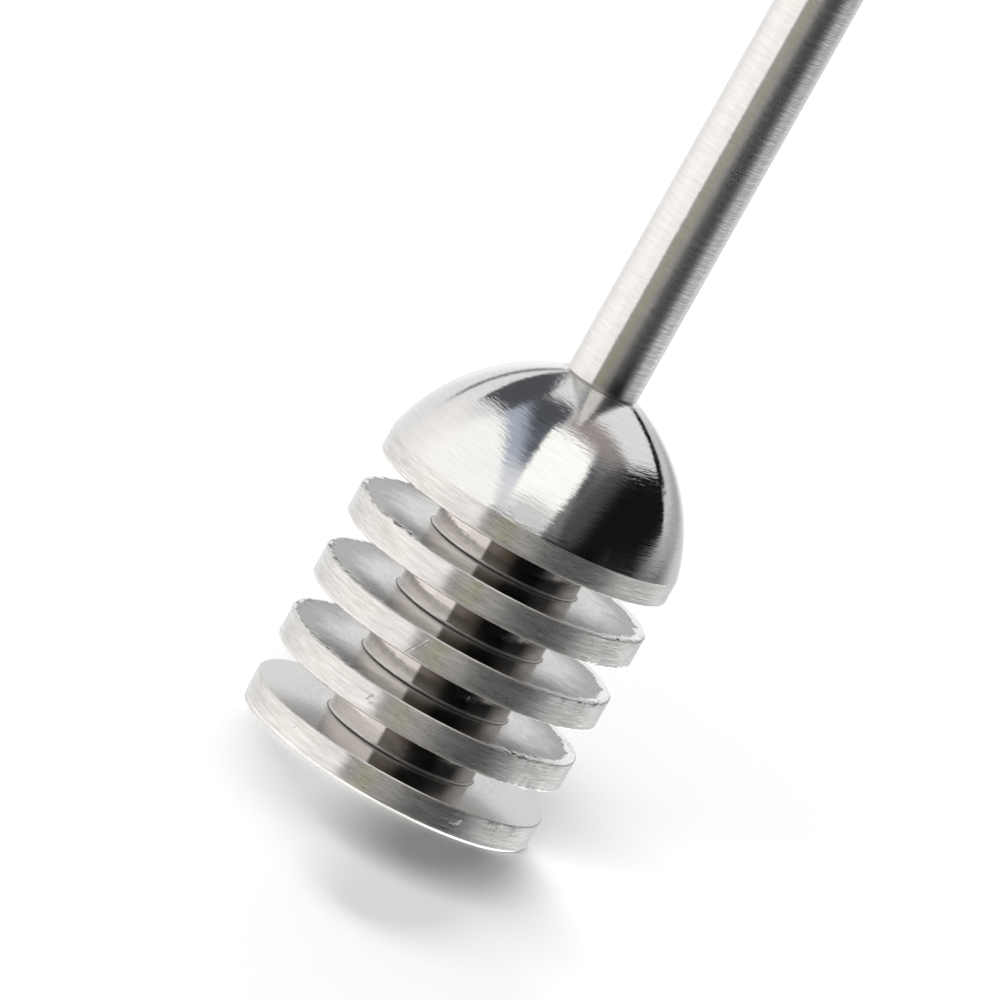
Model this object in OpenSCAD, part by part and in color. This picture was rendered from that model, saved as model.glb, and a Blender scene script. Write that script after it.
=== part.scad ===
// Honey dipper of stainless steel: a turned head on a round handle.
// It stands on the flat foot of its lowest disc, with the axis along +Z and the origin under the foot.

/* [Grooved head] */
// Diameter of the discs and of the dome's rim
disc_d = 25; // [18:0.5:45]
// Diameter of the core between the discs
core_d = 12.6; // [9:0.2:16]
// Number of discs below the dome
disc_n = 4; // [2:1:8]
// Thickness of each disc
disc_t = 2.4; // [1.2:0.1:5]
// Width of each honey groove, from disc to disc
groove_w = 3.15; // [1.5:0.05:6]
// Corner radius that the grooving tool leaves at the core
groove_corner_r = 0.2; // [0.05:0.05:0.6]
// Chamfer that breaks the sharp edges of the discs
edge_break = 0.1; // [0.05:0.01:0.3]
// Chamfer round the foot
foot_chamfer = 0.25; // [0.05:0.05:0.8]

/* [Dome] */
// Height of the straight rim under the dome
rim_h = 2.05; // [0.8:0.05:4]
// Height of the dome above its rim
dome_h = 10.35; // [7:0.05:16]
// Angle from upright at which the dome leaves the rim
dome_lean = 14.6; // [8:0.2:24]
// Width of the flat left round the foot of the handle
seat_lip = 0.4; // [0.1:0.05:1.5]

/* [Handle] */
// Diameter of the handle
handle_d = 6; // [4:0.5:10]
// Length of the handle above the head
handle_l = 125.4; // [70:0.2:180]
// Chamfer at the foot of the handle
handle_chamfer = 0.2; // [0.05:0.05:0.4]

/* [Joint inside the head] */
// Width of the shoulder that seats on the dome's flat
shoulder_w = 1; // [0.8:0.05:1.4]
// Length of the spigot below the shoulder
spigot_l = 11; // [6:0.5:16]
// Gap all round between the spigot and its bore
spigot_clearance = 0.05; // [0.01:0.01:0.15]
// Height of the relief cut in the spigot under the shoulder
relief_h = 1; // [0.4:0.1:2]
// Depth of that relief
relief_depth = 0.4; // [0.1:0.05:0.7]
// Lead-in chamfer at the mouth of the bore and the tip of the spigot
lead_in = 0.4; // [0.1:0.05:0.6]
// Free depth of the bore under the spigot
bore_spare = 1.5; // [0.5:0.1:4]
// Angle of the cone that the drill leaves
drill_point = 118; // [90:1:140]

/* [Hidden] */
$fn = 96;
over = 1; // how far a cutter stands out past what it cuts

disc_r = disc_d / 2;
core_r = core_d / 2;
handle_r = handle_d / 2;
spigot_r = handle_r - shoulder_w;
bore_r = spigot_r + spigot_clearance;
seat_r = handle_r + seat_lip;

pitch = disc_t + groove_w;
rim_z = disc_n * pitch;
seat_z = rim_z + rim_h + dome_h;
tip_z = seat_z + handle_l;
bore_depth = spigot_l + bore_spare;

// The dome is one arc in section, from the top of the rim to the edge of the seat.
// It leaves the rim at dome_lean, which with the chord between its ends gives its radius and centre.
dome_chord = norm([disc_r - seat_r, dome_h]);
chord_lean = atan2(disc_r - seat_r, dome_h);
dome_arc_r = dome_chord / (2 * sin(chord_lean - dome_lean));
dome_centre = [disc_r, rim_z + rim_h] - dome_arc_r * [cos(dome_lean), sin(dome_lean)];

// Half section of the bar before it is grooved, with the dome turned on its upper end
module blank_section() {
    polygon([[0, 0], [disc_r - foot_chamfer, 0], [disc_r, foot_chamfer], [disc_r, rim_z], [0, rim_z]]);
    intersection() {
        translate(dome_centre) circle(dome_arc_r);
        translate([0, rim_z]) square([disc_r, seat_z - rim_z]);
    }
}

// Half section of one groove: round corners at the core, and a chamfered mouth
module groove_section() {
    corner_x = core_r + groove_corner_r;
    corner_z = [groove_corner_r, groove_w - groove_corner_r];
    mouth_x = disc_r + over;
    mouth_z = edge_break + over;
    translate([core_r, corner_z[0]]) square([corner_x - core_r, corner_z[1] - corner_z[0]]);
    translate([corner_x, 0]) square([mouth_x - corner_x, groove_w]);
    for (z = corner_z) translate([corner_x, z]) circle(groove_corner_r);
    polygon([
        [disc_r - edge_break, 0], [mouth_x, -mouth_z],
        [mouth_x, groove_w + mouth_z], [disc_r - edge_break, groove_w]
    ]);
}

module head_section() {
    difference() {
        blank_section();
        for (i = [0:disc_n - 1]) translate([0, i * pitch + disc_t]) groove_section();
    }
}

// Blind hole for the handle's spigot, opening at the seat
module spigot_bore() {
    translate([0, 0, seat_z - bore_depth]) cylinder(r = bore_r, h = bore_depth + over);
    point_h = bore_r / tan(drill_point / 2);
    translate([0, 0, seat_z - bore_depth - point_h]) cylinder(r1 = 0, r2 = bore_r, h = point_h);
    translate([0, 0, seat_z - lead_in]) cylinder(r1 = bore_r, r2 = bore_r + lead_in + over, h = lead_in + over);
}

module head() {
    color([0.74, 0.73, 0.71]) difference() {
        rotate_extrude() head_section();
        spigot_bore();
    }
}

// Half section of the handle, from the spigot's tip to the round end
module handle_section() {
    spigot_z = seat_z - spigot_l;
    relief_z = seat_z - relief_h;
    round_z = tip_z - handle_r;
    polygon([
        [0, spigot_z], [spigot_r - lead_in, spigot_z], [spigot_r, spigot_z + lead_in],
        [spigot_r, relief_z], [spigot_r - relief_depth, relief_z + relief_depth], [spigot_r - relief_depth, seat_z],
        [handle_r - handle_chamfer, seat_z], [handle_r, seat_z + handle_chamfer],
        [handle_r, round_z], [0, round_z]
    ]);
    intersection() {
        translate([0, round_z]) circle(handle_r);
        translate([0, round_z]) square([handle_r, handle_r]);
    }
}

module handle() {
    color([0.80, 0.79, 0.77]) rotate_extrude() handle_section();
}

head();
handle();
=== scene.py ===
# Honey dipper of turned stainless steel, standing on its foot in a plain white studio.
import math

import bmesh
import bpy
from mathutils import Matrix, Vector


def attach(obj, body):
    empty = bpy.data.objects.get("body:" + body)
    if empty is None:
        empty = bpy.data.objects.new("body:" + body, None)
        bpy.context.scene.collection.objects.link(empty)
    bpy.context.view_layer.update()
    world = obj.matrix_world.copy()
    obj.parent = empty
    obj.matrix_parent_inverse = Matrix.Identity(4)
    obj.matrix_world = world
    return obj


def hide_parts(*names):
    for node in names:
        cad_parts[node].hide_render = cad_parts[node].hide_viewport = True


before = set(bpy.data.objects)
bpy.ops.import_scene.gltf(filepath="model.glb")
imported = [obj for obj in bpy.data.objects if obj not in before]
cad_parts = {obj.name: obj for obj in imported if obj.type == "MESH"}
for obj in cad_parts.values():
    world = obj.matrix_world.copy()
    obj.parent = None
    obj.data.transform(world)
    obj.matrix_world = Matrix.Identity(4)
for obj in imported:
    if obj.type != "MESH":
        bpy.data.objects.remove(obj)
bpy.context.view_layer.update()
mm = 0.001
print("frame loaded:", sorted(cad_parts))


def colourOf(code):  # sRGB hex to linear RGBA
    parts = [int(code[i:i + 2], 16) / 255 for i in (0, 2, 4)]
    return (*[c / 12.92 if c <= 0.04045 else ((c + 0.055) / 1.055) ** 2.4 for c in parts], 1)


def addNode(tree, kind, values=None, links=None, **settings):
    node = tree.nodes.new(kind)
    for name, value in settings.items():
        setattr(node, name, value)
    for key, value in (values or {}).items():
        node.inputs[key].default_value = value
    for key, source in (links or {}).items():
        tree.links.new(source, node.inputs[key])
    return node


# A long lens from a little above the horizon, rolled so that the dipper leans to the right.
shot = {
    "elevation": 10.61,
    "roll": 29.35,
    "distance": 714.8 * mm,
    "across": 8.872 * mm,
    "up": 20.857 * mm,
    "lens": 331.34,
}


def addCamera():
    e = math.radians(shot["elevation"])
    r = math.radians(shot["roll"])
    level = Vector((1, 0, 0))
    upright = Vector((0, math.sin(e), math.cos(e)))
    towards = Vector((0, -math.cos(e), math.sin(e)))
    right = math.cos(r) * level + math.sin(r) * upright
    up = -math.sin(r) * level + math.cos(r) * upright
    data = bpy.data.cameras.new("camera")
    data.lens = shot["lens"]
    data.sensor_width = 36
    data.clip_start = 0.05
    data.clip_end = 20
    camera = bpy.data.objects.new("camera", data)
    place = Matrix((right, up, towards)).transposed().to_4x4()
    place.translation = shot["across"] * right + shot["up"] * up + shot["distance"] * towards
    camera.matrix_world = place
    bpy.context.scene.collection.objects.link(camera)
    bpy.context.scene.camera = camera


addCamera()
print("camera placed")


# Steel shows its surroundings, so the room has softboxes and dark flags that only reflections see.
# A card's corners are in degrees, anticlockwise. On the overhead map they are measured from straight up,
# with the camera at the bottom. On the wall map they are compass angle (0 is the camera side, 90 the
# right) and height above the horizon. A later card covers an earlier one.
def box(left, low, right, high):
    return [(left, low), (right, low), (right, high), (left, high)]


studio = {
    "plainLight": 0.24,
    "suns": [
        # name, compass (0 behind the dipper, plus to the right), height, spread, share of the floor's light
        ("softKey", -9, 46, 22, 0.36),
        ("softFill", -165, 50, 30, 0.44),
    ],
    "flag": {"centre": (3.5, -25.5), "half": (6, 13.5), "turn": -14, "height": 12, "corners": 32},
    "floorColour": "E8E8E8",
    "floorHalf": 6.0,  # metres
    "floorDrop": 0.02,  # mm under the foot
    "room": (1.0, "FFFFFF"),
    "cards": [
        # map, corners, softness of each side, level, tint
        # the table, with a darker patch in front on the right
        ("wall", box(-200, -120, 200, -48), [8], 1.4, "FFFFFF"),
        ("wall", box(20, -120, 98, -56), [8, 6, 6, 6], 0.25, "FFFFFF"),
        # the big softbox on the left and its brighter middle
        ("wall", box(-122, -58, -27, 30), [8, 6, 8, 25], 1.26, "FFFBF8"),
        ("wall", box(-78, -2, -27, 20), [4, 4, 6, 10], 1.75, "FFFBF8"),
        # the grey wall on the right and the lit table before it
        ("wall", box(88, -58, 168, 30), [8, 8, 8, 10], 0.74, "FEFFFF"),
        ("wall", box(94, -58, 168, -18), [6, 8, 5, 12], 1.75, "FEFFFF"),
        ("wall", box(128, -58, 176, -18), [6, 8, 5, 8], 2.6, "FEFFFF"),
        # above the camera: a pale strip, and a dark flag to its right
        ("wall", box(-28, 22, 18, 40), [3, 4, 2, 3], 0.85, "FFFFFF"),
        ("wall", box(19, 21, 84, 34), [3, 13, 6, 3], 0.008, "FFFFFF"),
        # overhead on the left: cool grey cards, dark flags behind them, and a bright sheet further out
        ("overhead", [(-42, -56), (-34, -62), (-14, -52), (-8, -40), (-8, 14), (-42, 14)],
         [3, 4, 3, 3, 4, 3], 0.72, "DDE8F8"),
        ("overhead", box(-40, -74, -15, -36), [2, 3, 12, 3], 1.05, "F4F6FA"),
        ("overhead", [(-23, -36), (-18, -36), (-9, 4), (-28, 4)], [8, 1, 4, 5], 0.2, "D8E2F4"),
        ("overhead", [(-30, 12), (-24, -8), (-10, -6), (-6, 2), (-6, 12), (-21, 22), (-27, 22)],
         [3, 3, 3, 3, 1.5, 2, 3], 0.13, "E4EAF6"),
        ("overhead", [(-90, -72), (-29, -72), (-36, -20), (-41, 4), (-52, 12), (-90, 12)],
         [1, 1.5, 1.5, 3, 14, 1], 1.32, "FFFEFB"),
        ("overhead", [(-40, 8), (-26, 13), (-20, 22), (-15, 57), (-48, 31)],
         [3, 3, 2, 1.2, 1.5], 0.12, "F0F2FF"),
        ("overhead", [(-50, 50), (-15, 59.5), (-15, 65), (-50, 55)], [1.5, 6, 1.5, 6], 0.28, "FFFFFF"),
        # overhead on the right: dark flags, with a grey gap or two
        ("overhead", box(18, -74, 48, 12), [3], 0.25, "FFFFFF"),
        ("overhead", box(20, -36, 26, -14), [4, 2, 4, 1], 0.13, "F0F0FF"),
        ("overhead", box(12, -4, 34, 12), [4], 0.36, "FFF8F6"),
        ("overhead", [(25, -50), (40, -78), (60, -60), (60, 30), (42, 30), (29, 0)],
         [5, 3, 3, 3, 3, 5], 0.1, "F6F6FF"),
        ("overhead", [(41, -46), (49, -78), (100, -60), (100, -20), (78, 16), (60, 41), (40, 49), (37, 5)],
         [13, 5, 1, 1, 1.5, 1.2, 1.2, 7], 0.01, "F6F6FF"),
        ("overhead", [(15, 56.5), (41, 43.5), (44, 50.5), (15, 63.5)], [0.8], 0.01, "F6F6FF"),
        ("overhead", box(65, -33, 70, -24), [2], 0.14, "F6F6FF"),
        # the softbox in front overhead, and a rosy grey card behind it
        ("overhead", [(-8, -4), (14, -6), (24, 4), (18, 12), (-2, 12)], [3], 0.42, "FFEEEC"),
        ("overhead", [(-20.5, -54), (18.5, -54), (20.5, -30), (18.5, -13), (7, -7), (-13, -5.5)],
         [4, 0.8, 0.8, 1.5, 1.5, 0.8], 1.42, "FFFFFB"),
        # low cards that the discs, the core and the handle mirror: bright behind and on the left, brown and
        # olive round the camera, dark and grey on the right
        ("wall", box(166, 2, 200, 20), [3, 5, 3, 5], 1.15, "FFFFFF"),
        ("wall", box(-200, 2, -160, 20), [3, 5, 3, 5], 1.15, "FFFFFF"),
        ("wall", box(-64, -20, -26, -3), [4, 2, 4, 6], 1.05, "FFFBF8"),
        ("wall", box(-28, -33, 40, 17), [8, 10, 3, 2.5], 0.12, "FFEED4"),
        ("wall", box(-28, -39, -10, 17), [8, 9, 3, 2.5], 0.2, "FFF4E6"),
        ("wall", box(-17, -50, -3, -19), [3], 0.48, "EAE57C"),
        ("wall", [(8, -28), (40, -38), (66, -38), (89, -10), (89, 19), (8, 19)],
         [10, 10, 10, 13, 3, 15], 0.006, "FFFFFF"),
        ("wall", box(96, 4, 170, 16), [4, 16, 4, 6], 0.5, "FFFFFF"),
        ("wall", box(60, 0, 108, 19), [4, 20, 4, 5], 0.02, "FFFFFF"),
        ("wall", box(76, -15, 134, 8), [3, 14, 3, 24], 0.22, "FFFFFF"),
    ],
}


def addCard(tree, place, corners, softness):  # 1 inside the card and 0 outside
    inside = None
    for i, (x, y) in enumerate(corners):
        nextX, nextY = corners[(i + 1) % len(corners)]
        long = math.hypot(nextX - x, nextY - y)
        inward = ((y - nextY) / long, (nextX - x) / long, 0)
        start = inward[0] * x + inward[1] * y
        soft = softness[i % len(softness)]
        reach = addNode(tree, "ShaderNodeVectorMath", {1: inward}, {0: place},
                        operation="DOT_PRODUCT").outputs["Value"]
        side = addNode(tree, "ShaderNodeMapRange", {
            1: math.radians(start - soft), 2: math.radians(start + soft)}, {0: reach},
            interpolation_type="SMOOTHSTEP").outputs[0]
        if inside is None:
            inside = side
        else:
            inside = addNode(tree, "ShaderNodeMath", links={0: inside, 1: side},
                             operation="MULTIPLY").outputs[0]
    return inside


def addWorld():
    world = bpy.data.worlds.new("studio")
    world.use_nodes = True
    world.cycles.sampling_method = "NONE"
    tree = world.node_tree
    tree.nodes.clear()
    ray = addNode(tree, "ShaderNodeTexCoord").outputs["Generated"]
    part = addNode(tree, "ShaderNodeSeparateXYZ", links={"Vector": ray})
    back = addNode(tree, "ShaderNodeMath", {1: -1.0}, {0: part.outputs["Y"]}, operation="MULTIPLY")
    compass = addNode(tree, "ShaderNodeMath", links={0: part.outputs["X"], 1: back.outputs[0]},
                      operation="ARCTAN2")
    fromTop = addNode(tree, "ShaderNodeMath", links={0: part.outputs["Z"]}, operation="ARCCOSINE")
    height = addNode(tree, "ShaderNodeMath", {0: math.pi / 2}, {1: fromTop.outputs[0]}, operation="SUBTRACT")
    wallPlace = addNode(tree, "ShaderNodeCombineXYZ", links={"X": compass.outputs[0], "Y": height.outputs[0]})
    flat = addNode(tree, "ShaderNodeVectorMath", {1: (1, 1, 0)}, {0: ray}, operation="MULTIPLY")
    way = addNode(tree, "ShaderNodeVectorMath", links={0: flat.outputs[0]}, operation="NORMALIZE")
    topPlace = addNode(tree, "ShaderNodeVectorMath", links={0: way.outputs[0], "Scale": fromTop.outputs[0]},
                       operation="SCALE")
    places = {"wall": wallPlace.outputs[0], "overhead": topPlace.outputs[0]}
    level, tint = studio["room"]
    seen = addNode(tree, "ShaderNodeRGB").outputs[0]
    seen.default_value = [level * c for c in colourOf(tint)[:3]] + [1]
    for space, corners, softness, level, tint in studio["cards"]:
        inside = addCard(tree, places[space], corners, softness)
        seen = addNode(tree, "ShaderNodeMix", {7: [level * c for c in colourOf(tint)[:3]] + [1]},
                       {0: inside, 6: seen}, data_type="RGBA").outputs[2]
    path = addNode(tree, "ShaderNodeLightPath")
    plain = addNode(tree, "ShaderNodeMix", {6: [studio["plainLight"]] * 3 + [1], 7: (1, 1, 1, 1)},
                    {0: path.outputs["Is Camera Ray"]}, data_type="RGBA")
    colour = addNode(tree, "ShaderNodeMix", links={
        0: path.outputs["Is Glossy Ray"], 6: plain.outputs[2], 7: seen}, data_type="RGBA")
    light = addNode(tree, "ShaderNodeBackground", links={"Color": colour.outputs[2]})
    addNode(tree, "ShaderNodeOutputWorld", links={"Surface": light.outputs[0]})
    bpy.context.scene.world = world


def addSun(name, compass, height, spread, share):
    compass, height = math.radians(compass), math.radians(height)
    data = bpy.data.lights.new(name, "SUN")
    data.energy = share * math.pi / math.sin(height)
    data.angle = math.radians(spread)
    sun = bpy.data.objects.new(name, data)
    source = Vector((math.sin(compass) * math.cos(height), math.cos(compass) * math.cos(height),
                     math.sin(height)))
    sun.matrix_world = source.to_track_quat("Z", "Y").to_matrix().to_4x4()
    sun.visible_glossy = False
    bpy.context.scene.collection.objects.link(sun)


def addFloor():
    mesh = bpy.data.meshes.new("floor")
    half, low = studio["floorHalf"], -studio["floorDrop"] * mm
    mesh.from_pydata([(-half, -half, low), (half, -half, low), (half, half, low), (-half, half, low)],
                     [], [(0, 1, 2, 3)])
    floor = bpy.data.objects.new("floor", mesh)
    bpy.context.scene.collection.objects.link(floor)
    material = bpy.data.materials.new("whitePaper")
    material.use_nodes = True
    tree = material.node_tree
    tree.nodes.clear()
    path = addNode(tree, "ShaderNodeLightPath")
    colour = addNode(tree, "ShaderNodeMix", {6: colourOf(studio["floorColour"]), 7: (1, 1, 1, 1)},
                     {0: path.outputs["Is Camera Ray"]}, data_type="RGBA")
    paper = addNode(tree, "ShaderNodeBsdfDiffuse", links={"Color": colour.outputs[2]})
    below = addNode(tree, "ShaderNodeBsdfTransparent")
    side = addNode(tree, "ShaderNodeNewGeometry")
    mix = addNode(tree, "ShaderNodeMixShader", links={
        0: side.outputs["Backfacing"], 1: paper.outputs[0], 2: below.outputs[0]})
    addNode(tree, "ShaderNodeOutputMaterial", links={"Surface": mix.outputs[0]})
    mesh.materials.append(material)
    floor.visible_glossy = False


def addFlag():  # a small black card on the camera side that keeps the fill light off the shadow
    flag = studio["flag"]
    turn, height = math.radians(flag["turn"]), flag["height"] * mm
    points = []
    for i in range(flag["corners"]):
        a = 2 * math.pi * i / flag["corners"]
        x, y = flag["half"][0] * math.cos(a), flag["half"][1] * math.sin(a)
        points.append(((flag["centre"][0] + x * math.cos(turn) - y * math.sin(turn)) * mm,
                       (flag["centre"][1] + x * math.sin(turn) + y * math.cos(turn)) * mm, height))
    mesh = bpy.data.meshes.new("shadowFlag")
    mesh.from_pydata(points, [], [tuple(range(len(points)))])
    card = bpy.data.objects.new("shadowFlag", mesh)
    bpy.context.scene.collection.objects.link(card)
    material = bpy.data.materials.new("blackCard")
    material.use_nodes = True
    material.node_tree.nodes["Principled BSDF"].inputs["Base Color"].default_value = (0.01, 0.01, 0.01, 1)
    mesh.materials.append(material)
    card.visible_camera = False
    card.visible_glossy = False
    card.visible_diffuse = False


addFlag()
addWorld()
for lamp in studio["suns"]:
    addSun(*lamp)
addFloor()
bpy.context.scene.view_settings.view_transform = "Standard"
print("studio set up:", len(studio["cards"]), "cards")


# Stainless steel, turned on a lathe. The tool leaves fine rings, so a highlight spreads along the axis
# and stays sharp round it, and the edge of each reflection breaks into short streaks. The real rings are
# too fine to measure in the photo. A usual finishing feed leaves them about 0.05 mm apart, which wouldn't
# show, so they are drawn 0.2 to 0.3 mm apart, with a finer set between them.
fineRings = {"spacing": 0.42, "arcs": 2.2, "share": 0.5}  # as shares of the first set's
ringSeeds = (3.1, 41.7)


def turnedSteel(name, look):
    material = bpy.data.materials.new(name)
    material.use_nodes = True
    tree = material.node_tree
    tree.nodes.clear()
    place = addNode(tree, "ShaderNodeTexCoord").outputs["Object"]
    part = addNode(tree, "ShaderNodeSeparateXYZ", links={"Vector": place}).outputs
    flat = addNode(tree, "ShaderNodeVectorMath", {1: (1, 1, 0)}, {0: place}, operation="MULTIPLY").outputs[0]
    radius = addNode(tree, "ShaderNodeVectorMath", links={0: flat}, operation="LENGTH").outputs["Value"]
    way = addNode(tree, "ShaderNodeVectorMath", links={0: flat}, operation="NORMALIZE").outputs[0]

    def rings(spacing, arcs, seed):  # noise drawn out into rings, seamless round the axis
        onward = addNode(tree, "ShaderNodeVectorMath", {"Scale": arcs}, {0: way},
                         operation="SCALE").outputs[0]
        rise = addNode(tree, "ShaderNodeMath", {1: 1 / (spacing * mm), 2: seed}, {0: part["Z"]},
                       operation="MULTIPLY_ADD").outputs[0]
        lift = addNode(tree, "ShaderNodeCombineXYZ", links={"Z": rise}).outputs[0]
        spot = addNode(tree, "ShaderNodeVectorMath", links={0: onward, 1: lift}, operation="ADD").outputs[0]
        outward = addNode(tree, "ShaderNodeMath", {1: 1 / (spacing * mm), 2: seed}, {0: radius},
                          operation="MULTIPLY_ADD").outputs[0]
        return addNode(tree, "ShaderNodeTexNoise", {"Scale": 1.0, "Detail": 2.0, "Roughness": 0.6},
                       {"Vector": spot, "W": outward}, noise_dimensions="4D").outputs["Fac"]

    def mark(compass, height, length, width, tilt):  # a short scratch on the side of a disc, 1 in its middle
        turn, out = math.radians(compass), look["markRadius"] * mm
        along = addNode(tree, "ShaderNodeMapping", {
            "Location": (out * math.sin(turn), -out * math.cos(turn), height * mm),
            "Rotation": (0, -math.radians(tilt), turn),
            "Scale": (length * mm / 2, 2 * mm, width * mm / 2)}, {"Vector": place},
            vector_type="TEXTURE").outputs[0]
        away = addNode(tree, "ShaderNodeVectorMath", links={0: along}, operation="LENGTH").outputs["Value"]
        return addNode(tree, "ShaderNodeMapRange", {1: 0.4, 2: 1.0, 3: 1.0, 4: 0.0}, {0: away}).outputs[0]

    def tornRimAndPaintedLight(cloud, tone, dull):  # the outer part of a disc's face, with painted light on its burr and on the lowest disc
        # greyer towards the rim, in clouds, but on the lowest disc, where above is 0, painted pale as light
        # from the white floor below
        above = addNode(tree, "ShaderNodeMapRange", {1: 4 * mm, 2: 5 * mm}, {0: part["Z"]}).outputs[0]
        start, end, grey, lowest = look["outer"]
        grey = addNode(tree, "ShaderNodeMix", {6: colourOf(lowest), 7: colourOf(grey)}, {0: above},
                       data_type="RGBA").outputs[2]
        drift = addNode(tree, "ShaderNodeMath", {1: 4 * mm}, {0: cloud, 2: radius},
                        operation="MULTIPLY_ADD").outputs[0]
        far = addNode(tree, "ShaderNodeMapRange", {1: (start + 2) * mm, 2: (end + 2) * mm},
                      {0: drift}).outputs[0]
        tone = addNode(tree, "ShaderNodeMix", links={0: far, 6: tone, 7: grey}, data_type="RGBA").outputs[2]
        # a ragged burr along the rim, painted pale as its highlight, with a painted shadow line inside it,
        # none in front or on the lowest disc
        start, spread, pale, dark = look["burrAndPaintedLight"]
        ragged = addNode(tree, "ShaderNodeTexNoise", {
            "Scale": 1 / (look["burrGrain"] * mm), "Detail": 6.0, "Roughness": 0.72}, {
            "Vector": place}).outputs["Fac"]
        reach = addNode(tree, "ShaderNodeMath", {1: spread * mm}, {0: ragged, 2: radius},
                        operation="MULTIPLY_ADD").outputs[0]
        reach = addNode(tree, "ShaderNodeMath", {1: look["burrRightward"]}, {0: part["X"], 2: reach},
                        operation="MULTIPLY_ADD").outputs[0]
        begin = (start + spread / 2) * mm
        acrossX = addNode(tree, "ShaderNodeMath", links={0: part["X"]}, operation="ABSOLUTE").outputs[0]
        aside = addNode(tree, "ShaderNodeMapRange", {1: 4.5 * mm, 2: 7.5 * mm}, {0: acrossX}).outputs[0]
        there = addNode(tree, "ShaderNodeMath", links={0: aside, 1: above}, operation="MULTIPLY").outputs[0]
        for first, full, colour in ((begin - 0.4 * mm, begin - 0.1 * mm, dark),
                                    (begin, begin + 0.1 * mm, pale)):
            burrAndPaintedLight = addNode(tree, "ShaderNodeMapRange", {1: first, 2: full}, {0: reach}).outputs[0]
            burrAndPaintedLight = addNode(tree, "ShaderNodeMath", links={0: burrAndPaintedLight, 1: there}, operation="MULTIPLY").outputs[0]
            tone = addNode(tree, "ShaderNodeMix", {7: colourOf(colour)}, {0: burrAndPaintedLight, 6: tone},
                           data_type="RGBA").outputs[2]
        dull = addNode(tree, "ShaderNodeMath", {1: look["burrRough"]}, {0: burrAndPaintedLight, 2: dull},
                       operation="MULTIPLY_ADD").outputs[0]
        return tone, dull

    spacing, arcs = look["ringSpacing"], look["ringArcs"]
    coarse = rings(spacing, arcs, ringSeeds[0])
    fine = rings(spacing * fineRings["spacing"], arcs * fineRings["arcs"], ringSeeds[1])
    cloud = addNode(tree, "ShaderNodeTexNoise", {
        "Scale": 1 / (look["cloudSize"] * mm), "Detail": 4.0, "Roughness": 0.6}, {
        "Vector": place}).outputs["Fac"]
    both = addNode(tree, "ShaderNodeMath", {1: fineRings["share"]}, {0: fine, 2: coarse},
                   operation="MULTIPLY_ADD").outputs[0]
    shade = addNode(tree, "ShaderNodeMapRange", {1: 0.55, 2: 0.95, 3: 0.0, 4: 1.0}, {0: both}).outputs[0]
    tone = addNode(tree, "ShaderNodeMix", {6: colourOf(look["dark"]), 7: colourOf(look["light"])},
                   {0: shade}, data_type="RGBA").outputs[2]
    low, high = look["rough"]
    dull = addNode(tree, "ShaderNodeMapRange", {1: 0.3, 2: 0.7, 3: low, 4: high}, {0: cloud}).outputs[0]
    start, end = look["ringCover"]
    deepest = addNode(tree, "ShaderNodeMapRange", {1: start, 2: end, 3: 0.0, 4: look["ringRough"]},
                      {0: fine}).outputs[0]  # the deepest rings are duller
    dull = addNode(tree, "ShaderNodeMath", links={0: dull, 1: deepest}, operation="ADD").outputs[0]
    if "burrAndPaintedLight" in look:
        tone, dull = tornRimAndPaintedLight(cloud, tone, dull)
    height = addNode(tree, "ShaderNodeMath", {1: look["cloudHeight"]}, {0: cloud, 2: both},
                     operation="MULTIPLY_ADD").outputs[0]
    for scratch in look.get("marks", []):
        height = addNode(tree, "ShaderNodeMath", {1: -look["markDepth"] / look["ringDepth"]}, {
            0: mark(*scratch), 2: height}, operation="MULTIPLY_ADD").outputs[0]
    bump = addNode(tree, "ShaderNodeBump", {"Strength": 1.0, "Distance": look["ringDepth"] * mm},
                   {"Height": height}).outputs[0]
    tangent = addNode(tree, "ShaderNodeTangent", direction_type="RADIAL", axis="Z").outputs[0]
    steel = addNode(tree, "ShaderNodeBsdfPrincipled", {
        "Metallic": 1.0, "Anisotropic": look["drawn"], "Anisotropic Rotation": 0.25,
    }, {"Base Color": tone, "Roughness": dull, "Normal": bump, "Tangent": tangent})
    addNode(tree, "ShaderNodeOutputMaterial", links={"Surface": steel.outputs[0]})
    return material


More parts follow.
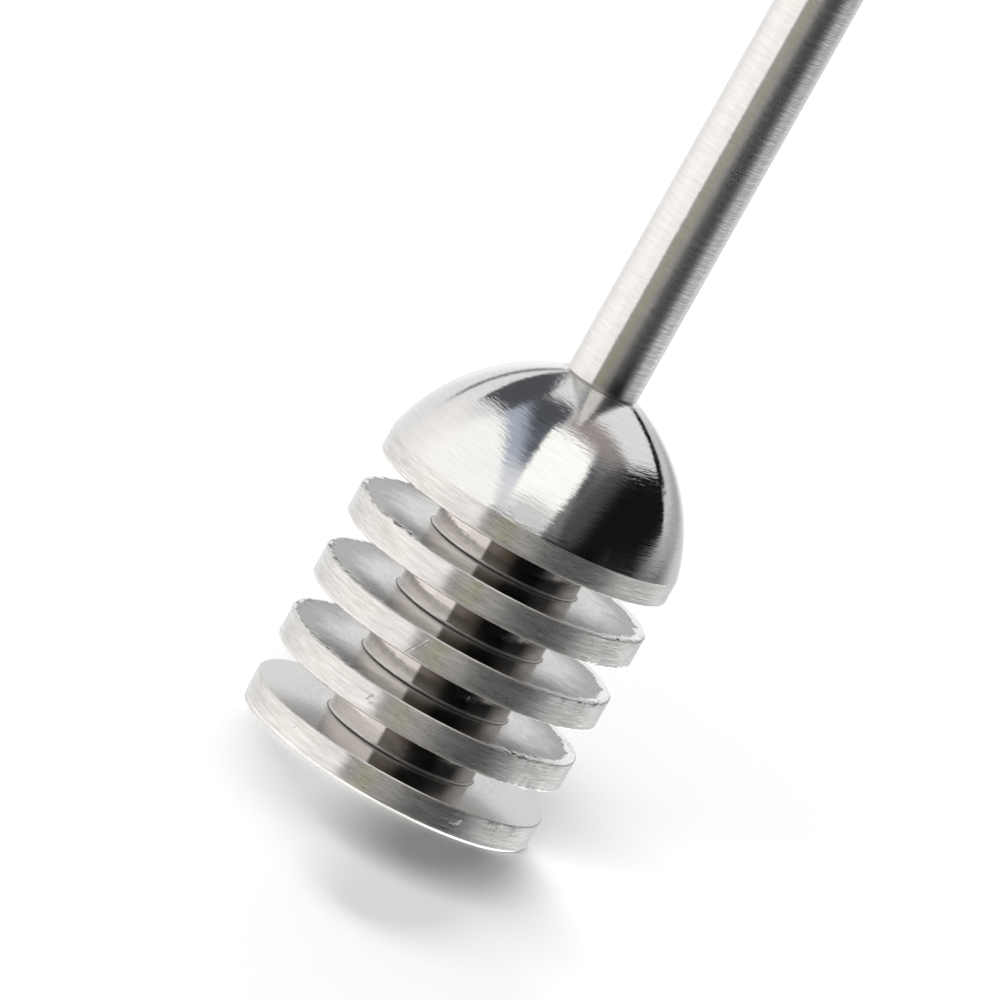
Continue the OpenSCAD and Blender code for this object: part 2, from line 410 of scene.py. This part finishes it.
# Sizes are in mm. ringArcs says how often a ring breaks up on its way round, ringDepth how deep the rings
# are, ringCover which of them count as deep, and ringRough how much duller those are. Clouds are soft
# patches: rough is the roughness outside and inside them, and cloudHeight their share of the relief.
# drawn is how far a highlight is drawn out along the axis.
steels = {
    # polished dome: a near mirror with fine rings
    "dome": turnedSteel("polishedTurnedSteel", {
        "light": "DBDAD9", "dark": "D4D3D2", "rough": (0.06, 0.1), "drawn": 0.3, "ringSpacing": 0.26,
        "ringArcs": 6.0, "ringDepth": 0.015, "ringRough": 0.08, "ringCover": (0.5, 0.75),
        "cloudSize": 2.5, "cloudHeight": 0.0}),
    # edges of the discs: a satin finish from the turning tool
    "edge": turnedSteel("satinTurnedSteel", {
        "light": "E6E4E2", "dark": "C8C6C3", "rough": (0.265, 0.285), "drawn": 1.0, "ringSpacing": 0.2,
        "ringArcs": 6.0, "ringDepth": 0.024, "ringRough": 0.05, "ringCover": (0.42, 0.62),
        "cloudSize": 1.2, "cloudHeight": 0.1, "markRadius": 12.5, "markDepth": 0.07, "marks": [
            # compass angle, height, length, width, tilt
            (-12, 12.2, 2.3, 0.16, 58), (-10.5, 12.1, 1.6, 0.1, 62), (-13.5, 11.6, 0.9, 0.12, 50),
            (-17.5, 6.9, 0.9, 0.2, 62), (-16, 6.55, 0.6, 0.14, 30), (33, 1.35, 0.8, 0.24, 50),
            (31, 1.1, 0.5, 0.14, -10), (47, 18.3, 0.5, 0.12, 20), (-38, 1.5, 0.5, 0.1, 35)]}),
    # broken edges: the sharp corners dulled by hand
    "broken": turnedSteel("dulledSteelEdge", {
        "light": "EEECEA", "dark": "D8D6D4", "rough": (0.4, 0.5), "drawn": 0.0, "ringSpacing": 0.3,
        "ringArcs": 6.0, "ringDepth": 0.01, "ringRough": 0.0, "ringCover": (0.5, 0.7),
        "cloudSize": 0.5, "cloudHeight": 1.0}),
    # faces of the discs: bright from the side of the grooving tool, greyer and a little torn towards the rim,
    # with a painted highlight and painted shadow at the burr and painted floor light on the lowest disc
    "face": turnedSteel("groovedSteelFace", {
        "light": "B6B4B2", "dark": "A09E9B", "rough": (0.13, 0.18), "drawn": 0.3, "ringSpacing": 0.3,
        "ringArcs": 2.5, "ringDepth": 0.004, "ringRough": 0.03, "ringCover": (0.5, 0.7),
        "cloudSize": 1.6, "cloudHeight": 1.0,
        # greyer between these radii, to this colour, or on the lowest disc to this paler one, which is
        # painted light from the floor
        "outer": (8.2, 10.6, "585652", "B0AEAC"),
        # the burr's inner radius and raggedness, its colour, a painted highlight, and the colour of the line
        # inside it, a painted shadow
        "burrAndPaintedLight": (11.85, 2.2, "E2E0DE", "403E3B"),
        # size of its grain, how much wider it is on the right, and how much duller
        "burrGrain": 1.6, "burrRightward": 0.028, "burrRough": 0.12}),
    # undersides of the discs: duller, and painted darker as the shade under each disc
    "roof": turnedSteel("shadedDullSteelUnderside", {
        "light": "9E9C9A", "dark": "8A8885", "rough": (0.2, 0.32), "drawn": 0.6, "ringSpacing": 0.3,
        "ringArcs": 2.5, "ringDepth": 0.004, "ringRough": 0.1, "ringCover": (0.5, 0.7),
        "cloudSize": 1.6, "cloudHeight": 1.0}),
    # bottom corner of each groove: painted dark as the shade in the corner
    "recess": turnedSteel("shadedSteelCorner", {
        "light": "4A4846", "dark": "3A3836", "rough": (0.3, 0.4), "drawn": 0.6, "ringSpacing": 0.3,
        "ringArcs": 2.5, "ringDepth": 0.004, "ringRough": 0.1, "ringCover": (0.5, 0.7),
        "cloudSize": 1.5, "cloudHeight": 0.2}),
    # core between the discs: bright from the end of the grooving tool
    "core": turnedSteel("groovedSteelCore", {
        "light": "DCD7D2", "dark": "CEC9C4", "rough": (0.06, 0.09), "drawn": 0.3, "ringSpacing": 0.3,
        "ringArcs": 2.5, "ringDepth": 0.003, "ringRough": 0.05, "ringCover": (0.5, 0.7),
        "cloudSize": 1.5, "cloudHeight": 0.2}),
    # handle: drawn bar, polished round its axis
    "handle": turnedSteel("polishedSteelBar", {
        "light": "E6E4E2", "dark": "DCDAD8", "rough": (0.27, 0.27), "drawn": 1.0, "ringSpacing": 0.26,
        "ringArcs": 1.4, "ringDepth": 0.03, "ringRough": 0.0, "ringCover": (0.42, 0.64),
        "cloudSize": 1.5, "cloudHeight": 0.1}),
}
finishes = list(steels)
print("steels made:", ", ".join(finishes))


def arc(centre, radius, start, end, steps):  # points on an arc, both ends included
    turns = [math.radians(start + (end - start) * i / steps) for i in range(steps + 1)]
    return [(centre[0] + radius * math.cos(t), centre[1] + radius * math.sin(t)) for t in turns]


def addProfile(name, stretches):
    # stretches are (finish, wear, points in millimetres); each one starts where the last one ends
    points, finish, wear = [], [], []
    for kind, worn, run in stretches:
        for point in run:
            if points and math.dist(points[-1], point) < 1e-6:
                finish[-1] = finishes.index(kind)
                wear[-1] = max(wear[-1], worn)
                continue
            points.append(point)
            finish.append(finishes.index(kind))
            wear.append(worn)
    mesh = bpy.data.meshes.new(name)
    mesh.from_pydata([(r * mm, 0, z * mm) for r, z in points],
                     [(i, i + 1) for i in range(len(points) - 1)], [])
    mesh.attributes.new("finish", "INT", "POINT").data.foreach_set("value", finish)
    mesh.attributes.new("wear", "FLOAT", "POINT").data.foreach_set("value", wear)
    profile = bpy.data.objects.new(name, mesh)
    bpy.context.scene.collection.objects.link(profile)
    return profile


def makeLathe():
    # turns a profile, a line of points in the XZ plane, round the Z axis
    tree = bpy.data.node_groups.new("lathe", "GeometryNodeTree")
    tree.interface.new_socket("Profile", in_out="INPUT", socket_type="NodeSocketGeometry")
    tree.interface.new_socket("Segments", in_out="INPUT", socket_type="NodeSocketInt")
    tree.interface.new_socket("Turned", in_out="OUTPUT", socket_type="NodeSocketGeometry")
    given = addNode(tree, "NodeGroupInput").outputs
    count = addNode(tree, "GeometryNodeAttributeDomainSize",
                    links={"Geometry": given["Profile"]}).outputs["Point Count"]
    around = addNode(tree, "FunctionNodeIntegerMath", {1: 1}, {0: given["Segments"]},
                     operation="ADD").outputs[0]
    grid = addNode(tree, "GeometryNodeMeshGrid",
                   links={"Vertices X": count, "Vertices Y": around}).outputs["Mesh"]
    index = addNode(tree, "GeometryNodeInputIndex").outputs[0]
    row = addNode(tree, "FunctionNodeIntegerMath", links={0: index, 1: around},
                  operation="DIVIDE_FLOOR").outputs[0]
    step = addNode(tree, "FunctionNodeIntegerMath", links={0: index, 1: around},
                   operation="MODULO").outputs[0]
    angle = addNode(tree, "ShaderNodeMath", links={0: step, 1: given["Segments"]},
                    operation="DIVIDE").outputs[0]
    turn = addNode(tree, "ShaderNodeMath", {1: 2 * math.pi}, {0: angle}, operation="MULTIPLY").outputs[0]
    where = addNode(tree, "GeometryNodeInputPosition").outputs[0]
    onProfile = addNode(tree, "GeometryNodeSampleIndex", links={
        "Geometry": given["Profile"], "Value": where, "Index": row}, data_type="FLOAT_VECTOR").outputs[0]
    turned = addNode(tree, "ShaderNodeVectorRotate", links={"Vector": onProfile, "Angle": turn},
                     rotation_type="Z_AXIS").outputs[0]
    shaped = addNode(tree, "GeometryNodeSetPosition", links={"Geometry": grid, "Position": turned}).outputs[0]
    wear = addNode(tree, "GeometryNodeInputNamedAttribute", {"Name": "wear"}, data_type="FLOAT").outputs[0]
    worn = addNode(tree, "GeometryNodeSampleIndex", links={
        "Geometry": given["Profile"], "Value": wear, "Index": row}, data_type="FLOAT").outputs[0]
    kept = addNode(tree, "GeometryNodeStoreNamedAttribute", {"Name": "wear"}, {
        "Geometry": shaped, "Value": worn}, data_type="FLOAT", domain="POINT").outputs[0]
    # a face's row is the stretch of the profile that it was turned from
    faceRow = addNode(tree, "FunctionNodeIntegerMath", links={0: index, 1: given["Segments"]},
                      operation="DIVIDE_FLOOR").outputs[0]
    finish = addNode(tree, "GeometryNodeInputNamedAttribute", {"Name": "finish"}, data_type="INT").outputs[0]
    finished = addNode(tree, "GeometryNodeSampleIndex", links={
        "Geometry": given["Profile"], "Value": finish, "Index": faceRow}, data_type="INT").outputs[0]
    marked = addNode(tree, "GeometryNodeStoreNamedAttribute", {"Name": "finish"}, {
        "Geometry": kept, "Value": finished}, data_type="INT", domain="FACE").outputs[0]
    outward = addNode(tree, "GeometryNodeFlipFaces", links={0: marked}).outputs[0]
    addNode(tree, "NodeGroupOutput", links={"Turned": outward})
    return tree


lathe = makeLathe()

turning = {
    "mergeWithin": 0.002,
    "creaseAngle": 13,
    "footClear": (3, 5),  # nothing is lifted below the first height, and everything above the second
    "patchSize": 12.5,  # of the worn stretches, in dents
    "sidesFrom": (4.5, 9),  # how far to the side the wear starts, and where it is full
}


def makeTurning(name, profiles, finishNames):
    # profiles are turned and joined; one marked True is copied up the axis first
    tree = bpy.data.node_groups.new(name, "GeometryNodeTree")
    for label, kind in [(p, "NodeSocketObject") for p in profiles] + [
            ("Segments", "NodeSocketInt"), ("Copies", "NodeSocketInt"), ("Pitch", "NodeSocketFloat"),
            ("Dent Depth", "NodeSocketFloat"), ("Dent Size", "NodeSocketFloat"), ("Seed", "NodeSocketInt")]:
        tree.interface.new_socket(label, in_out="INPUT", socket_type=kind)
    tree.interface.new_socket("Geometry", in_out="OUTPUT", socket_type="NodeSocketGeometry")
    given = addNode(tree, "NodeGroupInput").outputs
    joined = addNode(tree, "GeometryNodeJoinGeometry")
    for label, repeated in profiles.items():
        profile = addNode(tree, "GeometryNodeObjectInfo", links={"Object": given[label]}).outputs["Geometry"]
        out = addNode(tree, "GeometryNodeGroup", links={"Profile": profile, "Segments": given["Segments"]},
                      node_tree=lathe).outputs[0]
        if repeated:
            offset = addNode(tree, "ShaderNodeCombineXYZ", links={"Z": given["Pitch"]}).outputs[0]
            line = addNode(tree, "GeometryNodeMeshLine",
                           links={"Count": given["Copies"], "Offset": offset}).outputs[0]
            copies = addNode(tree, "GeometryNodeInstanceOnPoints",
                             links={"Points": line, "Instance": out}).outputs[0]
            out = addNode(tree, "GeometryNodeRealizeInstances", links={0: copies}).outputs[0]
        tree.links.new(out, joined.inputs[0])
    merged = addNode(tree, "GeometryNodeMergeByDistance", {"Distance": turning["mergeWithin"] * mm},
                     {"Geometry": joined.outputs[0]}).outputs[0]
    # small dents and burrs where the tool left the edges: never past the turned diameter, none at the foot
    where = addNode(tree, "GeometryNodeInputPosition").outputs[0]
    wear = addNode(tree, "GeometryNodeInputNamedAttribute", {"Name": "wear"}, data_type="FLOAT").outputs[0]
    scale = addNode(tree, "ShaderNodeMath", {0: 1.0}, {1: given["Dent Size"]}, operation="DIVIDE").outputs[0]
    bite = addNode(tree, "ShaderNodeTexNoise", {"Detail": 2.0}, {
        "Vector": where, "W": given["Seed"], "Scale": scale}, noise_dimensions="4D").outputs
    rise = addNode(tree, "ShaderNodeSeparateXYZ", links={0: bite["Color"]}).outputs[2]
    inward = addNode(tree, "ShaderNodeMapRange", {1: 0.5, 2: 0.8, 3: 0.0, 4: -1.0},
                     {0: bite["Fac"]}).outputs[0]
    upward = addNode(tree, "ShaderNodeMapRange", {1: 0.3, 2: 0.75, 3: -0.4, 4: 1.0}, {0: rise}).outputs[0]
    spot = addNode(tree, "ShaderNodeSeparateXYZ", links={0: where}).outputs
    low, high = turning["footClear"]
    offFoot = addNode(tree, "ShaderNodeMapRange", {1: low * mm, 2: high * mm, 3: 0.0},
                      {0: spot[2]}).outputs[0]
    upward = addNode(tree, "ShaderNodeMath", links={0: upward, 1: offFoot}, operation="MULTIPLY").outputs[0]
    flat = addNode(tree, "ShaderNodeVectorMath", {1: (1, 1, 0)}, {0: where}, operation="MULTIPLY").outputs[0]
    outward = addNode(tree, "ShaderNodeVectorMath", links={0: flat}, operation="NORMALIZE").outputs[0]
    aside = addNode(tree, "ShaderNodeVectorMath", links={0: outward, "Scale": inward},
                    operation="SCALE").outputs[0]
    lift = addNode(tree, "ShaderNodeCombineXYZ", links={"Z": upward}).outputs[0]
    both = addNode(tree, "ShaderNodeVectorMath", links={0: aside, 1: lift}, operation="ADD").outputs[0]
    # some stretches are worn more than others, and the front and back hardly at all
    patchScale = addNode(tree, "ShaderNodeMath", {1: 1 / turning["patchSize"]}, {0: scale},
                         operation="MULTIPLY").outputs[0]
    patch = addNode(tree, "ShaderNodeTexNoise", {"Detail": 1.0}, {
        "Vector": where, "W": given["Seed"], "Scale": patchScale}, noise_dimensions="4D").outputs["Fac"]
    worse = addNode(tree, "ShaderNodeMapRange", {1: 0.42, 2: 0.6, 3: 0.15, 4: 1.0}, {0: patch}).outputs[0]
    acrossX = addNode(tree, "ShaderNodeMath", links={0: spot[0]}, operation="ABSOLUTE").outputs[0]
    near, far = turning["sidesFrom"]
    sides = addNode(tree, "ShaderNodeMapRange", {1: near * mm, 2: far * mm, 3: 0.1, 4: 1.0},
                    {0: acrossX}).outputs[0]
    worse = addNode(tree, "ShaderNodeMath", links={0: worse, 1: sides}, operation="MULTIPLY").outputs[0]
    depth = addNode(tree, "ShaderNodeMath", links={0: given["Dent Depth"], 1: wear},
                    operation="MULTIPLY").outputs[0]
    depth = addNode(tree, "ShaderNodeMath", links={0: depth, 1: worse}, operation="MULTIPLY").outputs[0]
    push = addNode(tree, "ShaderNodeVectorMath", links={0: both, "Scale": depth},
                   operation="SCALE").outputs[0]
    dented = addNode(tree, "GeometryNodeSetPosition", links={"Geometry": merged, "Offset": push}).outputs[0]
    # corners stay crisp and curves smooth
    corner = addNode(tree, "GeometryNodeInputMeshEdgeAngle").outputs[0]
    crisp = addNode(tree, "ShaderNodeMath", {1: math.radians(turning["creaseAngle"])}, {0: corner},
                    operation="GREATER_THAN").outputs[0]
    smooth = addNode(tree, "GeometryNodeSetShadeSmooth", {"Shade Smooth": True}, {"Geometry": dented},
                     domain="FACE").outputs[0]
    shaded = addNode(tree, "GeometryNodeSetShadeSmooth", {"Shade Smooth": False}, {
        "Geometry": smooth, "Selection": crisp}, domain="EDGE").outputs[0]
    out = addNode(tree, "GeometryNodeRealizeInstances", links={0: shaded}).outputs[0]
    given = addNode(tree, "GeometryNodeInputNamedAttribute", {"Name": "finish"}, data_type="INT").outputs[0]
    for finish in finishNames:
        chosen = addNode(tree, "FunctionNodeCompare", {3: finishes.index(finish)}, {2: given},
                         data_type="INT", operation="EQUAL").outputs[0]
        out = addNode(tree, "GeometryNodeSetMaterial", {"Material": steels[finish]}, {
            "Geometry": out, "Selection": chosen}).outputs[0]
    addNode(tree, "NodeGroupOutput", links={"Geometry": out})
    return tree


def turnPiece(name, tree, inputs):
    piece = bpy.data.objects.new(name, bpy.data.meshes.new(name))
    bpy.context.scene.collection.objects.link(piece)
    modifier = piece.modifiers.new("turning", "NODES")
    modifier.node_group = tree
    sockets = {s.name: s.identifier for s in tree.interface.items_tree if s.in_out == "INPUT"}
    for label, value in inputs.items():
        modifier[sockets[label]] = value
    depsgraph = bpy.context.evaluated_depsgraph_get()
    mesh = bpy.data.meshes.new_from_object(piece.evaluated_get(depsgraph), preserve_all_data_layers=True,
                                           depsgraph=depsgraph)
    piece.modifiers.remove(modifier)
    piece.data = mesh
    mesh.name = name
    for value in inputs.values():
        if isinstance(value, bpy.types.Object):
            bpy.data.objects.remove(value)
    work = bmesh.new()
    work.from_mesh(mesh)
    volume = work.calc_volume(signed=True) / mm ** 3  # above nought when the faces point outwards
    gaps = sum(len(e.link_faces) != 2 for e in work.edges)
    work.free()
    triangles = sum(len(p.vertices) - 2 for p in mesh.polygons)
    print(f"{name}: {triangles} triangles, {gaps} open edges, {volume:.1f} cubic mm")
    return piece


head = {
    "discRadius": 12.5,
    "coreRadius": 6.3,
    "discs": 4,
    "discThick": 2.4,
    "groove": 3.15,
    "corner": 0.2,
    "edgeBreak": 0.1,
    "footChamfer": 0.25,
    "rimHigh": 2.05,
    "domeHigh": 10.35,
    "domeLean": 14.6,
    "seatRadius": 3.4,
    "boreRadius": 2.05,
    "boreDepth": 12.5,
    "leadIn": 0.4,
    "drillPoint": 118,
    "segments": 448,
    "cornerSteps": 6,
    "domeSteps": 48,
    "faceRings": [11, 9.6, 8, 7.1],
    "beside": 0.15,  # a ring of points this far from a broken edge keeps it crisp
    "dentDepth": 0.16,
    "dentSize": 0.5,
    "seed": 4,
}


def makeHead():
    size = head
    edge, core = size["discRadius"], size["coreRadius"]
    thick, groove, corner = size["discThick"], size["groove"], size["corner"]
    broken, inner = size["edgeBreak"], size["discRadius"] - size["edgeBreak"]
    chamfer, beside, steps = size["footChamfer"], size["beside"], size["cornerSteps"]
    pitch = thick + groove
    middle = thick / 2
    root = core + corner
    foot = addProfile("footProfile", [
        ("face", 0, [(0, 0), (4, 0), (8, 0), (11, 0), (edge - chamfer - beside, 0)]),
        ("broken", 0.3, [(edge - chamfer, 0), (edge, chamfer)]),
        ("edge", 0, [(edge, chamfer + beside), (edge, middle)]),
    ])
    floorZ, roofZ = thick, pitch
    coreTurn = arc((root, floorZ + corner), corner, 270, 180, steps)
    roofTurn = arc((root, roofZ - corner), corner, 180, 90, steps)
    shadedSteps = steps // 3  # the lowest third of the corner is painted dark as shade
    grooveRun = addProfile("grooveProfile", [
        ("edge", 0, [(edge, middle), (edge, thick - broken - beside)]),
        ("broken", 1, [(edge, thick - broken), (inner, thick)]),
        ("face", 0.8, [(inner, thick), (inner - beside, thick), (inner - 2 * beside, thick)]),
        ("face", 0, [(r, thick) for r in [inner - 0.5] + size["faceRings"] + [root]]),
        ("recess", 0, coreTurn[:shadedSteps + 1]),
        ("broken", 0, coreTurn[shadedSteps:]),
        ("core", 0, [(core, floorZ + corner + 0.05), (core, floorZ + 1), (core, roofZ - 1)] + roofTurn),
        ("roof", 0, [(r, pitch) for r in [root] + size["faceRings"][::-1] + [inner - 0.4, inner - 0.12]]),
        ("broken", 0.6, [(inner, pitch), (edge, pitch + broken)]),
        ("edge", 0, [(edge, pitch + broken + beside), (edge, pitch + middle)]),
    ])
    rimTop = size["discs"] * pitch + size["rimHigh"]
    seatZ = rimTop + size["domeHigh"]
    chordX, chordZ = edge - size["seatRadius"], size["domeHigh"]
    lean = math.radians(size["domeLean"])
    chordLean = math.atan2(chordX, chordZ)
    arcRadius = math.hypot(chordX, chordZ) / (2 * math.sin(chordLean - lean))
    centre = (edge - arcRadius * math.cos(lean), rimTop - arcRadius * math.sin(lean))
    last = math.degrees(math.atan2(seatZ - centre[1], size["seatRadius"] - centre[0]))
    dome = arc(centre, arcRadius, size["domeLean"], last, size["domeSteps"])
    bore, bottom = size["boreRadius"], seatZ - size["boreDepth"]
    point = bore / math.tan(math.radians(size["drillPoint"] / 2))
    top = addProfile("domeProfile", [
        ("edge", 0, [(edge, size["discs"] * pitch + middle), (edge, rimTop)]),
        ("dome", 0, dome),
        ("edge", 0, [(size["seatRadius"], seatZ), (3, seatZ), (bore + size["leadIn"], seatZ),
                     (bore, seatZ - size["leadIn"])]),
        ("core", 0, [(bore, seatZ - 1), (bore, (seatZ + bottom) / 2), (bore, bottom), (0, bottom - point)]),
    ])
    tree = makeTurning("groovedHead", {"Foot Profile": False, "Groove Profile": True, "Dome Profile": False},
                       ["edge", "broken", "face", "roof", "recess", "core", "dome"])
    piece = turnPiece("groovedHead", tree, {
        "Foot Profile": foot, "Groove Profile": grooveRun, "Dome Profile": top,
        "Segments": size["segments"], "Copies": size["discs"], "Pitch": pitch * mm,
        "Dent Depth": size["dentDepth"] * mm, "Dent Size": size["dentSize"] * mm, "Seed": size["seed"]})
    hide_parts("head")
    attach(piece, "root")


makeHead()


handle = {
    "radius": 3.0,
    "seatZ": 34.6,
    "length": 125.4,
    "chamfer": 0.2,
    "shoulder": 1.0,
    "spigot": 11.0,
    "reliefHigh": 1.0,
    "reliefDeep": 0.4,
    "leadIn": 0.4,
    "shaftSteps": 40,
    "endSteps": 16,
    "segments": 256,
}


def makeHandle():
    size = handle
    radius, seatZ = size["radius"], size["seatZ"]
    spigot = radius - size["shoulder"]
    neck = spigot - size["reliefDeep"]
    low, roundZ = seatZ - size["spigot"], seatZ + size["length"] - radius
    start, steps = seatZ + size["chamfer"], size["shaftSteps"]
    shaft = [(radius, start + (roundZ - start) * i / steps) for i in range(steps + 1)]
    profile = addProfile("barProfile", [
        ("handle", 0, [(0, low), (spigot - size["leadIn"], low), (spigot, low + size["leadIn"]),
                       (spigot, seatZ - size["reliefHigh"]),
                       (neck, seatZ - size["reliefHigh"] + size["reliefDeep"]), (neck, seatZ),
                       (radius - size["chamfer"], seatZ)]),
        ("handle", 0, shaft),
        ("handle", 0, arc((0, roundZ), radius, 0, 90, size["endSteps"])),
    ])
    tree = makeTurning("handleBar", {"Bar Profile": False}, ["handle"])
    piece = turnPiece("handleBar", tree, {
        "Bar Profile": profile, "Segments": size["segments"], "Copies": 1, "Pitch": 0.0,
        "Dent Depth": 0.0, "Dent Size": 1.0 * mm, "Seed": 1})
    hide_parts("handle")
    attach(piece, "root")


makeHandle()
